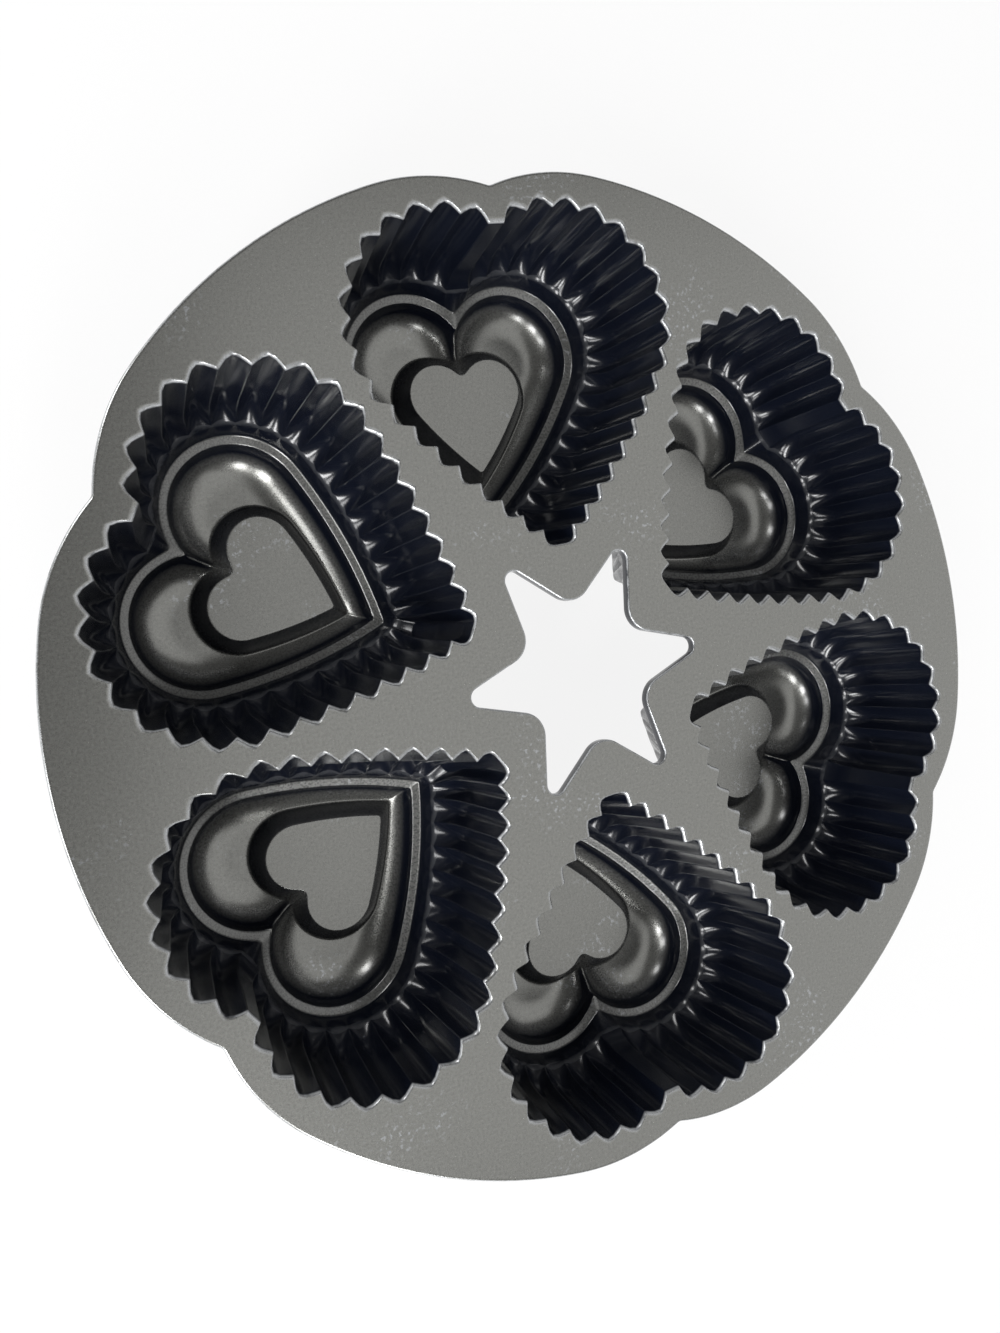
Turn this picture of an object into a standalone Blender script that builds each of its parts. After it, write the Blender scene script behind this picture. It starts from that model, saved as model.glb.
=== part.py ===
"""Mini heart cake pan: a flat deck with a star hole and six fluted, stepped heart cups.

Metres, +Z up. The origin is on the axis of the star hole, in the plane that the cups rest on.
A heart is described by its sideways place v and its outward place u, from the pan's axis.
"""
import math

import bmesh
import bpy

COLLECTION_NAME = "mini_heart_cake_pan"

# Deck
CUP_COUNT = 6
DECK_THICKNESS = 0.0032
WEB_WIDTH = 0.0042
EDGE_MARGIN = 0.0100
NOTCH_MARGIN = 0.0097
SHOULDER_RADIUS = 0.057

# Star hole
STAR_MARGIN = 0.0163
STAR_ARM = 0.0151
STAR_TIP_RADIUS = 0.0026
STAR_CORNER_RADIUS = 0.0066

# Rim heart, along the inner edges of the flutes
LOBE_DISTANCE = 0.0596
LOBE_SPREAD = 0.0162
LOBE_RADIUS = 0.0289
SIDE_RADIUS = 0.258

# Flutes
FLUTES_PER_SIDE = 17
FLUTE_DEPTH = 0.0027
FLUTE_POINTS = 3
TIP_PITCH_RATIO = 0.86
PITCH_GROWTH_FLUTES = 9
TIP_FLUTE_HALF_WIDTH = 0.0043
TIP_FLUTE_DEPTH = 0.0046
TIP_FLUTE_SQUARENESS = 3.0
TIP_FLUTE_STOPS = (0.4, 0.85)
CLEFT_FLAT_HALF_WIDTH = 0.0022
FLUTE_END_HEIGHT = 0.0075
FLUTE_END_DEPTH_SHARE = 0.8

# Tier heart, the outer edge of the narrow ledge
TIER_LOBE_INSET = 0.0078
TIER_TIP_INSET = 0.0121
TIER_SHIFT = 0.0012
TIER_SIDE_RADIUS = 0.145
FOOT_STEP = 0.0016
FOOT_TIP_HALF_WIDTH = 0.0015
FOOT_CLEFT_HALF_WIDTH = 0.0036
LEDGE_WIDTH = 0.0025
FLOOR_FILLET = 0.0072

# Small raised heart in the middle of a cup's floor
BOSS_LOBE_RADIUS = 0.0132
BOSS_SIDE_MARGIN = 0.0129
BOSS_TOP_MARGIN = 0.0144
BOSS_TIP_MARGIN = 0.0062
BOSS_SIDE_RADIUS = 0.120
BOSS_SLOPE_WIDTH = 0.0039

# Depths, each measured from the level above it
FOOT_DEPTH = 0.0345
FOOT_DROP = 0.0058
LEDGE_FALL = 0.0010
FLOOR_DROP = 0.0087
BOSS_HEIGHT = 0.0065

# Casting
WALL = 0.0032
BOSS_HOLLOW_INSET = 0.0016
OUTER_FLUTE_SHARE = 0.75
GAP = 0.0003

# Fineness of the curves
SMOOTH_RING_STEPS = 18
ARC_SAG = 0.00006
FLOOR_STOPS = (0.08, 0.35, 1.0)
UNDERSIDE_STOPS = (0.4, 1.0)
SHARP_ANGLE = math.radians(35)
HALVINGS = 24
ON_AXIS = 1e-7
WELD_DISTANCE = 1e-6

# Non-stick coating
DECK_COLOUR = (0.16, 0.16, 0.155, 1.0)
CUP_COLOUR = (0.12, 0.12, 0.115, 1.0)
DECK_ROUGHNESS = 0.45
CUP_ROUGHNESS = 0.40
COATING_METALLIC = 0.3

# Worked out from the sizes above
LEDGE_DEPTH = FOOT_DEPTH + FOOT_DROP
LEDGE_INNER_DEPTH = LEDGE_DEPTH + LEDGE_FALL
FLOOR_DEPTH = LEDGE_INNER_DEPTH + FLOOR_DROP
BOSS_TOP_DEPTH = FLOOR_DEPTH - BOSS_HEIGHT
PAN_HEIGHT = FLOOR_DEPTH + WALL
CUP_TOP_DEPTH = DECK_THICKNESS + GAP
HALF_SECTOR = math.pi / CUP_COUNT
TIP_RADIUS = (
    WEB_WIDTH / 2 + LOBE_RADIUS + FLUTE_DEPTH + LOBE_SPREAD * math.cos(HALF_SECTOR)
) / math.sin(HALF_SECTOR) - LOBE_DISTANCE


class Heart:
    """Half of a heart: a side arc from the tip, tangent inside a lobe circle up to the cleft."""

    def __init__(self, tip, lobe_centre, spread, lobe_radius, side_radius):
        self.centre = (spread, lobe_centre)
        self.lobe_radius = lobe_radius
        self.side_radius = side_radius
        rise = lobe_centre - tip
        reach = math.hypot(spread, rise)
        along = (side_radius ** 2 - (side_radius - lobe_radius) ** 2 + reach ** 2) / (2 * reach)
        across = math.sqrt(side_radius ** 2 - along ** 2)
        self.side_centre = (
            along * spread / reach - across * rise / reach,
            tip + along * rise / reach + across * spread / reach,
        )
        self.join = math.atan2(lobe_centre - self.side_centre[1], spread - self.side_centre[0])

    def tip(self, offset=0.0):
        radius = self.side_radius + offset
        return self.side_centre[1] - math.sqrt(radius ** 2 - self.side_centre[0] ** 2)

    def top(self, offset=0.0):
        return self.centre[1] + self.lobe_radius + offset

    def half_width(self, offset=0.0):
        return self.centre[0] + self.lobe_radius + offset

    def point(self, fraction, offset=0.0, first_v=0.0, last_v=0.0):
        """A place and its outward direction, by share of the length from the tip to the cleft."""
        side = self.side_radius + offset
        lobe = self.lobe_radius + offset
        start = -math.acos((first_v - self.side_centre[0]) / side)
        end = math.acos(max(-1.0, min(1.0, (last_v - self.centre[0]) / lobe)))
        side_length = side * (self.join - start)
        length = side_length + lobe * (end - self.join)
        run = fraction * length
        if run < side_length:
            angle = start + run / side
            centre, radius = self.side_centre, side
        else:
            angle = self.join + (run - side_length) / lobe
            centre, radius = self.centre, lobe
        out = (math.cos(angle), math.sin(angle))
        return (centre[0] + radius * out[0], centre[1] + radius * out[1]), out

    def inside(self, v, u, offset=0.0):
        """How far a place lies inside the heart's outline."""
        v = abs(v)
        side_away = (v - self.side_centre[0], u - self.side_centre[1])
        lobe_away = (v - self.centre[0], u - self.centre[1])
        if math.atan2(side_away[1], side_away[0]) < self.join:
            return self.side_radius + offset - math.hypot(*side_away)
        return self.lobe_radius + offset - math.hypot(*lobe_away)


def rim_heart():
    return Heart(TIP_RADIUS, TIP_RADIUS + LOBE_DISTANCE, LOBE_SPREAD, LOBE_RADIUS, SIDE_RADIUS)


def tier_heart():
    return Heart(
        TIP_RADIUS + TIER_TIP_INSET,
        TIP_RADIUS + LOBE_DISTANCE + TIER_SHIFT,
        LOBE_SPREAD,
        LOBE_RADIUS - TIER_LOBE_INSET,
        TIER_SIDE_RADIUS,
    )


def boss_heart(tier):
    """The foot of the small raised heart, set in from the inner edge of the ledge."""
    half_width = tier.half_width(-LEDGE_WIDTH) - BOSS_SIDE_MARGIN
    return Heart(
        tier.tip(-LEDGE_WIDTH) + BOSS_TIP_MARGIN,
        tier.top(-LEDGE_WIDTH) - BOSS_TOP_MARGIN - BOSS_LOBE_RADIUS,
        half_width - BOSS_LOBE_RADIUS,
        BOSS_LOBE_RADIUS,
        BOSS_SIDE_RADIUS,
    )


def wall_heart(down):
    """The fluted wall's heart, by share of the way from the rim down to the feet of the flutes."""
    rim, tier = rim_heart(), tier_heart()
    foot_inset = rim.half_width() - tier.half_width(FOOT_STEP)
    heart = Heart(
        rim.tip() + down * (tier.tip(FOOT_STEP) - rim.tip()),
        rim.centre[1] + down * (tier.centre[1] - rim.centre[1]),
        LOBE_SPREAD,
        rim.lobe_radius - down * foot_inset,
        rim.side_radius + down * (tier.side_radius + FOOT_STEP - rim.side_radius),
    )
    tip_width = TIP_FLUTE_HALF_WIDTH + down * (FOOT_TIP_HALF_WIDTH - TIP_FLUTE_HALF_WIDTH)
    cleft_width = CLEFT_FLAT_HALF_WIDTH + down * (FOOT_CLEFT_HALF_WIDTH - CLEFT_FLAT_HALF_WIDTH)
    return heart, tip_width, cleft_width


def mirrored(half):
    """A whole ring from its right half, tip first; places on the axis aren't doubled."""
    left = [(-v, u, z) for v, u, z in reversed(half) if abs(v) > ON_AXIS]
    return half + left


def flute_shares():
    """Where each flute starts along a side, as shares of the side: the pitch grows from the tip."""
    pitches = [
        TIP_PITCH_RATIO + (1 - TIP_PITCH_RATIO) * min(1.0, i / PITCH_GROWTH_FLUTES)
        for i in range(FLUTES_PER_SIDE)
    ]
    total = sum(pitches)
    return [sum(pitches[:i]) / total for i in range(FLUTES_PER_SIDE + 1)]


def fluted_ring(heart, offset, depth, bulge, tip_half_width, tip_bulge, cleft_half_width):
    """A scalloped ring: flutes bulge outwards from cusps that lie on the heart."""
    half = []
    (first_v, first_u), _ = heart.point(0.0, offset, tip_half_width, cleft_half_width)
    for share in TIP_FLUTE_STOPS:
        fall = tip_bulge * (1 - share ** TIP_FLUTE_SQUARENESS) ** (1 / TIP_FLUTE_SQUARENESS)
        half.append((share * first_v, first_u - fall, -depth))
    shares = flute_shares()
    for i in range(FLUTES_PER_SIDE):
        for j in range(FLUTE_POINTS):
            turn = j / FLUTE_POINTS
            fraction = shares[i] + (shares[i + 1] - shares[i]) * turn
            place, out = heart.point(fraction, offset, tip_half_width, cleft_half_width)
            lift = bulge * math.sin(math.pi * turn)
            half.append((place[0] + lift * out[0], place[1] + lift * out[1], -depth))
    place, _ = heart.point(1.0, offset, tip_half_width, cleft_half_width)
    half.append((place[0], place[1], -depth))
    return mirrored(half)


def smooth_ring(heart, offset, depth):
    half = []
    for i in range(SMOOTH_RING_STEPS + 1):
        place, _ = heart.point(i / SMOOTH_RING_STEPS, offset)
        v = 0.0 if i in (0, SMOOTH_RING_STEPS) else place[0]
        half.append((v, place[1], -depth))
    return mirrored(half)


def floor_depth_at(heart, v, u, offset, start_depth, fillet):
    """Depth of a floor that meets its wall in a quarter round."""
    share = max(0.0, min(1.0, heart.inside(v, u, offset) / fillet))
    return start_depth + FLOOR_DROP * math.sqrt(1 - (1 - share) ** 2)


def place_inside(heart, start, end, offset, wanted, farthest):
    """The place between start and end that lies the wanted way inside the heart, or near it."""
    low, high = 0.0, farthest
    for _ in range(HALVINGS):
        middle = (low + high) / 2
        v = start[0] + (end[0] - start[0]) * middle
        u = start[1] + (end[1] - start[1]) * middle
        if heart.inside(v, u, offset) < wanted:
            low = middle
        else:
            high = middle
    return start[0] + (end[0] - start[0]) * high, start[1] + (end[1] - start[1]) * high


def floor_rings(wall, wall_offset, centre, centre_offset, start_depth, fillet, stops):
    """Rings over a filleted floor, from its wall in to the foot of what rises in its middle."""
    outer = smooth_ring(wall, wall_offset, start_depth)
    inner = smooth_ring(centre, centre_offset, start_depth)
    rings = []
    for index, stop in enumerate(stops):
        farthest = (index + 1) / (len(stops) + 1)
        ring = []
        for start, end in zip(outer, inner):
            v, u = place_inside(wall, start, end, wall_offset, stop * fillet, farthest)
            ring.append((v, u, -floor_depth_at(wall, v, u, wall_offset, start_depth, fillet)))
        rings.append(ring)
    rings.append([
        (v, u, -floor_depth_at(wall, v, u, wall_offset, start_depth, fillet))
        for v, u, _ in inner
    ])
    return rings


def cup_inner_rings():
    """From the cup's top down the cavity, to the top of the small raised heart."""
    tier = tier_heart()
    boss = boss_heart(tier)
    rings = []
    levels = (
        (CUP_TOP_DEPTH, 1.0),
        (FOOT_DEPTH - FLUTE_END_HEIGHT, FLUTE_END_DEPTH_SHARE),
        (FOOT_DEPTH, 0.0),
    )
    for depth, share in levels:
        heart, tip_width, cleft_width = wall_heart(depth / FOOT_DEPTH)
        rings.append(fluted_ring(
            heart, 0.0, depth, FLUTE_DEPTH * share, tip_width, TIP_FLUTE_DEPTH * share, cleft_width,
        ))
    rings.append(smooth_ring(tier, 0.0, LEDGE_DEPTH))
    rings.append(smooth_ring(tier, -LEDGE_WIDTH, LEDGE_INNER_DEPTH))
    rings += floor_rings(tier, -LEDGE_WIDTH, boss, 0.0, LEDGE_INNER_DEPTH, FLOOR_FILLET, FLOOR_STOPS)
    rings.append(smooth_ring(boss, -BOSS_SLOPE_WIDTH, BOSS_TOP_DEPTH))
    return rings


def cup_outer_rings():
    """From the cup's top down its outside, to the hollow under the small raised heart."""
    tier = tier_heart()
    boss = boss_heart(tier)
    bulge = FLUTE_DEPTH * OUTER_FLUTE_SHARE
    tip_bulge = TIP_FLUTE_DEPTH * OUTER_FLUTE_SHARE
    rings = [
        fluted_ring(
            rim_heart(), WALL, CUP_TOP_DEPTH,
            bulge, TIP_FLUTE_HALF_WIDTH, tip_bulge, CLEFT_FLAT_HALF_WIDTH,
        ),
        fluted_ring(
            tier, FOOT_STEP + WALL, FOOT_DEPTH,
            bulge * OUTER_FLUTE_SHARE, FOOT_TIP_HALF_WIDTH,
            tip_bulge * OUTER_FLUTE_SHARE, FOOT_CLEFT_HALF_WIDTH,
        ),
        smooth_ring(tier, WALL, LEDGE_INNER_DEPTH + WALL),
        smooth_ring(tier, WALL - LEDGE_WIDTH, LEDGE_INNER_DEPTH + WALL),
    ]
    rings += floor_rings(
        tier, WALL - LEDGE_WIDTH, boss, -WALL,
        LEDGE_INNER_DEPTH + WALL, FLOOR_FILLET + WALL, UNDERSIDE_STOPS,
    )
    rings.append(smooth_ring(boss, -BOSS_SLOPE_WIDTH - BOSS_HOLLOW_INSET, BOSS_TOP_DEPTH + WALL))
    return rings


def kept_in_sector(ring):
    """The ring, held off the planes halfway to the neighbouring cups."""
    kept = []
    for v, u, z in ring:
        side = 1.0 if v >= 0 else -1.0
        past = side * v * math.cos(HALF_SECTOR) - u * math.sin(HALF_SECTOR) + GAP / 2
        if past > 0:
            v -= side * past * math.cos(HALF_SECTOR)
            u += past * math.sin(HALF_SECTOR)
        kept.append((v, u, z))
    return kept


def ring_lengths(verts):
    """Shares of the way round a ring at which its vertices lie."""
    steps = [(verts[i].co - verts[i - 1].co).length for i in range(len(verts))]
    total = sum(steps)
    return [sum(steps[1:i + 1]) / total for i in range(len(verts))] + [1.0]


def bridge(bm, upper, lower):
    """Faces between two rings, also where their counts differ."""
    if len(upper) == len(lower):
        for i in range(len(upper)):
            bm.faces.new((upper[i - 1], upper[i], lower[i], lower[i - 1]))
        return
    upper_at, lower_at = ring_lengths(upper), ring_lengths(lower)
    i = j = 0
    while i < len(upper) or j < len(lower):
        a, b = upper[i % len(upper)], lower[j % len(lower)]
        if j == len(lower) or (i < len(upper) and upper_at[i + 1] <= lower_at[j + 1]):
            bm.faces.new((a, upper[(i + 1) % len(upper)], b))
            i += 1
        else:
            bm.faces.new((a, lower[(j + 1) % len(lower)], b))
            j += 1


def cup_mesh(name):
    """One closed body: the cavity's surface, the rim face and the outside."""
    bm = bmesh.new()
    inner = cup_inner_rings()
    outer = [kept_in_sector(ring) for ring in cup_outer_rings()]
    profile = list(reversed(inner)) + outer
    rings = [[bm.verts.new((v, u, PAN_HEIGHT + z)) for v, u, z in ring] for ring in profile]
    for upper, lower in zip(rings, rings[1:]):
        bridge(bm, upper, lower)
    bm.faces.new(rings[0])
    bm.faces.new(rings[-1])
    bmesh.ops.recalc_face_normals(bm, faces=bm.faces)
    bmesh.ops.triangulate(bm, faces=bm.faces)
    mesh = bpy.data.meshes.new(name)
    bm.to_mesh(mesh)
    bm.free()
    mesh.shade_smooth()
    mesh.set_sharp_from_angle(angle=SHARP_ANGLE)
    return mesh


def cup_turn(index):
    """The angle about the pan's axis from the first cup to the cup of that index."""
    return -2 * HALF_SECTOR * index


def polar(radius, angle):
    return radius * math.cos(angle), radius * math.sin(angle)


def arc(centre, radius, start, end):
    """Points along an arc, as many as keep each chord within the sag of the true curve."""
    step = 2 * math.acos(1 - ARC_SAG / radius)
    count = max(2, round(abs(end - start) / step))
    points = []
    for i in range(count + 1):
        x, y = polar(radius, start + (end - start) * i / count)
        points.append((centre[0] + x, centre[1] + y))
    return points


def deck_outline():
    """Six arcs about the axis, each led into its notches by a tighter shoulder arc."""
    rim = rim_heart()
    outer = math.hypot(*rim.centre) + LOBE_RADIUS + EDGE_MARGIN
    cleft_u = rim.point(1.0, 0.0, 0.0, CLEFT_FLAT_HALF_WIDTH)[0][1]
    notch = min(cleft_u + NOTCH_MARGIN, outer)
    inner = outer - SHOULDER_RADIUS
    lean_cosine = (inner ** 2 + notch ** 2 - SHOULDER_RADIUS ** 2) / (2 * inner * notch)
    lean = math.acos(min(1.0, lean_cosine))
    points = []
    for index in range(CUP_COUNT):
        axis = math.pi / 2 + cup_turn(index)
        next_axis = axis - 2 * HALF_SECTOR
        notch_place = polar(notch, axis)
        after = polar(inner, axis - lean)
        before = polar(inner, next_axis + lean)
        start = math.atan2(notch_place[1] - after[1], notch_place[0] - after[0])
        turn = (start - (axis - lean) + math.pi) % (2 * math.pi) - math.pi
        points += arc(after, SHOULDER_RADIUS, axis - lean + turn, axis - lean)
        points += arc((0.0, 0.0), outer, axis - lean, next_axis + lean)[1:-1]
        points += arc(before, SHOULDER_RADIUS, next_axis + lean, next_axis + lean - turn)[:-1]
    return points


def star_outline():
    """A star with rounded points between the hearts and rounded inner corners at their tips."""
    waist = TIP_RADIUS - STAR_MARGIN
    corner_centre = waist + STAR_CORNER_RADIUS
    tip_centre = waist + STAR_ARM - STAR_TIP_RADIUS
    tip_place = polar(tip_centre, HALF_SECTOR)
    away = (tip_place[0] - corner_centre, tip_place[1])
    lean = math.asin(min(1.0, (STAR_CORNER_RADIUS + STAR_TIP_RADIUS) / math.hypot(*away)))
    side = math.atan2(away[1], away[0]) - lean
    half_corner = math.pi / 2 - side
    half_tip = HALF_SECTOR + half_corner
    points = []
    for index in range(CUP_COUNT):
        axis = math.pi / 2 + cup_turn(index)
        tip_axis = axis - HALF_SECTOR
        corner = polar(corner_centre, axis)
        tip = polar(tip_centre, tip_axis)
        corner_start = axis + math.pi - half_corner
        points += arc(corner, STAR_CORNER_RADIUS, corner_start, corner_start + 2 * half_corner)
        points += arc(tip, STAR_TIP_RADIUS, tip_axis + half_tip, tip_axis - half_tip)
    return points


def opening_outline(index):
    """The fluted edge of the cup's mouth, turned to its place in the deck."""
    ring = fluted_ring(
        rim_heart(), 0.0, 0.0,
        FLUTE_DEPTH, TIP_FLUTE_HALF_WIDTH, TIP_FLUTE_DEPTH, CLEFT_FLAT_HALF_WIDTH,
    )
    across, along = polar(1.0, cup_turn(index))
    return [(v * across - u * along, v * along + u * across) for v, u, _ in ring]


def add_spline(curve, points):
    spline = curve.splines.new("POLY")
    spline.points.add(len(points) - 1)
    for point, (x, y) in zip(spline.points, points):
        point.co = (x, y, 0.0, 1.0)
    spline.use_cyclic_u = True


def deck_mesh(name):
    """The deck as one flat filled outline with its openings, welded into a closed body."""
    curve = bpy.data.curves.new(name + "_outline", "CURVE")
    curve.dimensions = "2D"
    curve.fill_mode = "BOTH"
    curve.extrude = DECK_THICKNESS / 2
    add_spline(curve, deck_outline())
    add_spline(curve, star_outline())
    for index in range(CUP_COUNT):
        add_spline(curve, opening_outline(index))
    outline = bpy.data.objects.new(name + "_outline", curve)
    bpy.context.scene.collection.objects.link(outline)
    bpy.context.view_layer.update()
    evaluated = outline.evaluated_get(bpy.context.evaluated_depsgraph_get())
    mesh = bpy.data.meshes.new_from_object(evaluated)
    bpy.data.objects.remove(outline)
    bm = bmesh.new()
    bm.from_mesh(mesh)
    bmesh.ops.remove_doubles(bm, verts=bm.verts, dist=WELD_DISTANCE)
    bmesh.ops.recalc_face_normals(bm, faces=bm.faces)
    bm.to_mesh(mesh)
    bm.free()
    mesh.name = name
    return mesh


def coated_aluminium(name, colour, roughness):
    material = bpy.data.materials.new(name)
    material.use_nodes = True
    shader = material.node_tree.nodes["Principled BSDF"]
    shader.inputs["Base Color"].default_value = colour
    shader.inputs["Roughness"].default_value = roughness
    shader.inputs["Metallic"].default_value = COATING_METALLIC
    return material


def add_deck(parts):
    deck = bpy.data.objects.new("deck", deck_mesh("deck"))
    deck.location.z = PAN_HEIGHT - DECK_THICKNESS / 2
    deck.data.materials.clear()
    deck.data.materials.append(coated_aluminium("deck_coating", DECK_COLOUR, DECK_ROUGHNESS))
    parts.objects.link(deck)


def add_heart_cups(parts):
    mesh = cup_mesh("heart_cup")
    for index in range(CUP_COUNT):
        name = "heart_cup_" + str(index + 1)
        cup = bpy.data.objects.new(name, mesh.copy())
        cup.rotation_euler.z = cup_turn(index)
        cup.data.materials.append(coated_aluminium(name + "_coating", CUP_COLOUR, CUP_ROUGHNESS))
        parts.objects.link(cup)


def build():
    for leftover in list(bpy.data.objects):
        bpy.data.objects.remove(leftover)
    parts = bpy.data.collections.new(COLLECTION_NAME)
    bpy.context.scene.collection.children.link(parts)
    add_deck(parts)
    add_heart_cups(parts)


build()
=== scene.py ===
import math

import bmesh
import bpy
from mathutils import Matrix, Vector


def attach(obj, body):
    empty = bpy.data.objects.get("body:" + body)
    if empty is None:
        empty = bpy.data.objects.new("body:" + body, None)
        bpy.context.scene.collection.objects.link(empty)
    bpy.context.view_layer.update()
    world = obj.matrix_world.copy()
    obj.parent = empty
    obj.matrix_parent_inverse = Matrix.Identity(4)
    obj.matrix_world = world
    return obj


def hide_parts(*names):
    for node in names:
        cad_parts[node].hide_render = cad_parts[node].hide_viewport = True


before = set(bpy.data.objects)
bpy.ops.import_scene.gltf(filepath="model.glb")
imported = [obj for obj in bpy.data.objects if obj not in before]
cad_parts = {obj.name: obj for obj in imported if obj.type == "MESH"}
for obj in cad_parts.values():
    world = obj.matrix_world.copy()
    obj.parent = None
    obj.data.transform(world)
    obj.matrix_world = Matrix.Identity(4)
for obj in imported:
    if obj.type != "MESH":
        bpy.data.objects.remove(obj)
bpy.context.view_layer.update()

# The pan's own sizes in metres, as in the solid model. Depths run down from the deck's top.
CUP_COUNT = 6
PAN_HEIGHT = 0.0532
DECK_THICKNESS = 0.0032
WEB_WIDTH = 0.0042
EDGE_MARGIN = 0.0100
NOTCH_MARGIN = 0.0097
SHOULDER_RADIUS = 0.057
STAR_MARGIN = 0.0163
STAR_ARM = 0.0151
STAR_TIP_RADIUS = 0.0026
STAR_CORNER_RADIUS = 0.0066
LOBE_DISTANCE = 0.0596
LOBE_SPREAD = 0.0162
LOBE_RADIUS = 0.0289
SIDE_RADIUS = 0.258
FLUTES_PER_SIDE = 17
FLUTE_DEPTH = 0.0027
TIP_PITCH_RATIO = 0.86
PITCH_GROWTH_FLUTES = 9
TIP_FLUTE_HALF_WIDTH = 0.0043
TIP_FLUTE_DEPTH = 0.0046
CLEFT_FLAT_HALF_WIDTH = 0.0022
TIER_LOBE_INSET = 0.0078
TIER_TIP_INSET = 0.0121
TIER_SHIFT = 0.0012
TIER_SIDE_RADIUS = 0.145
FOOT_STEP = 0.0016
FOOT_TIP_HALF_WIDTH = 0.0015
FOOT_CLEFT_HALF_WIDTH = 0.0036
LEDGE_WIDTH = 0.0025
BOSS_LOBE_RADIUS = 0.0132
BOSS_SIDE_MARGIN = 0.0129
BOSS_TOP_MARGIN = 0.0144
BOSS_TIP_MARGIN = 0.0062
BOSS_SIDE_RADIUS = 0.120
BOSS_SLOPE_WIDTH = 0.0039
FOOT_DEPTH = 0.0345
FOOT_DROP = 0.0058
LEDGE_DEPTH = 0.0403
LEDGE_INNER_DEPTH = 0.0413
FLOOR_DROP = 0.0087
FLOOR_DEPTH = 0.0500
BOSS_TOP_DEPTH = 0.0435
WALL = 0.0032
BOSS_HOLLOW_INSET = 0.0016
OUTER_FLUTE_SHARE = 0.75
HALF_SECTOR = math.pi / CUP_COUNT
TIP_RADIUS = (
    WEB_WIDTH / 2 + LOBE_RADIUS + FLUTE_DEPTH + LOBE_SPREAD * math.cos(HALF_SECTOR)
) / math.sin(HALF_SECTOR) - LOBE_DISTANCE

# What the solid model has plainer: the wall's bend above its foot, which is straight there,
# the flutes' turn from pointed arches into bowls, the tip's pocket and the floor's fillet
WALL_BEND_DEPTH = 0.0245
CUSP_BEND_INSET = 0.0021
FLUTE_BEND_INSET = 0.0016
FOOT_FLUTE_DEPTH = 0.0008
WAVE_DEPTH = 0.0090
FOOT_WAVE_SOFTNESS = 0.35
FOOT_BAND_REACH = 0.0010
TIP_FLUTE_SQUARENESS = 4.0
FLOOR_FILLET = 0.0110

# The rounding that sand casting and coating leave on every edge
DECK_EDGE_RADIUS = 0.0006
MOUTH_EDGE_RADIUS = 0.0010
NOTCH_RADIUS = 0.0022
COLLAR = 0.0003
FOOT_CORNER = 0.0004
LEDGE_CORNER = 0.0006
BOSS_FOOT_CORNER = 0.0006
BOSS_TOP_CORNER = 0.00025
BOSS_FOOT_APRON = 0.0009
BOSS_TOP_APRON = 0.0006
UNDERSIDE_CORNER = 0.0018
HOLLOW_CORNER = 0.0009
HOLLOW_APRON = 0.0012
LEDGE_LIP_WIDTH = 0.00225
LEDGE_LIP_FALL = 0.0008
CREST_RADIUS = 0.0003
CREST_REACH = 0.0008
CREST_WIDTH = 0.0012
TIP_ROUNDING = 0.0003
CLEFT_ROUNDING = 0.0005
BOSS_TIP_ROUNDING = 0.0004
BOSS_CLEFT_ROUNDING = 0.0011
BOSS_TIP_HALF_WIDTH = 0.0010
BOSS_CLEFT_HALF_WIDTH = 0.0024
FLUTE_CREST_SOFTNESS = 0.27
FLUTE_CUSP_SOFTNESS = 0.07
UNDER_DECK_FILLET = 0.0015

# The flutes run straight down the wall, but not right beside the tip and the cleft
TIP_DRIFT_FADE = 0.05
CLEFT_DRIFT_FADE = 0.18

# How pale edges are painted, as worn metal and as painted highlight, and how much of the flat
# faces is painted lit grey rather than as painted shade
FOOT_WEAR_AND_HIGHLIGHT = 0.1
LEDGE_WEAR_AND_HIGHLIGHT = 0.08
BOSS_WEAR_AND_HIGHLIGHT = 0.1
LEDGE_PAINTED_LIT_SHARE = 0.60
PAINTED_LIT_BELOW = FOOT_DEPTH + 0.0015

# The paper sheet, and the lamps that stand round the pan
SHEET_GAP = 0.0002
SHEET_FLAT_RADII = (0.3, 1.0, 2.2)
SHEET_CURVE_RADIUS = 0.6
SHEET_WALL_HEIGHT = 1.25
SHEET_SHARE_SEEN_WHITE = 0.88
LAMP_WIDTH = 0.25
LAMP_HEIGHT = 0.70
PANEL_WIDTH = 2.2
ROOM_STRENGTH = 0.12

# The photograph's camera
CAMERA_LENS = 26.064
CAMERA_PLACE = (-0.11970946, 0.02548465, 0.28660406)
CAMERA_TURN = (0.59980511, -22.43687484, -12.79261074)

# The seam between the deck and a cup lies out of sight, down inside the mouth
SEAM_DEPTH = 0.0016
SEAM_STEP = 0.0010
SEAM_GAP = 0.00002

# Fineness
FLUTE_STEPS = 8
TIP_STOPS = (0.0, 0.3, 0.55, 0.75, 0.88, 0.96, 0.992)
CLEFT_STOPS = (0.86, 0.72, 0.58, 0.45, 0.33, 0.22, 0.12, 0.04, 0.0)
EDGE_STEPS = 5
NOTCH_STEPS = 8
STAR_STEPS = 14
SHEET_STEPS = 96
SHEET_CURVE_STEPS = 12
WALL_DEPTHS = (SEAM_DEPTH + SEAM_GAP, 0.005, 0.010, 0.015, 0.022)
BEND_STOPS = (0.0, 0.15, 0.29, 0.42, 0.54, 0.65, 0.75, 0.83, 0.9, 0.96)
OUTER_WALL_STOPS = (0.25, 0.5, 0.75, 1.0)
CORNER_STOPS = (0.0, 0.25, 0.5, 0.75, 1.0)
FLOOR_STOPS = (
    0.004, 0.015, 0.035, 0.06, 0.09, 0.125, 0.165, 0.21, 0.26, 0.315,
    0.375, 0.44, 0.51, 0.585, 0.665, 0.75, 0.84, 0.92, 1.0,
)
ARC_SAG = 0.00001
ON_AXIS = 1e-7


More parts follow.
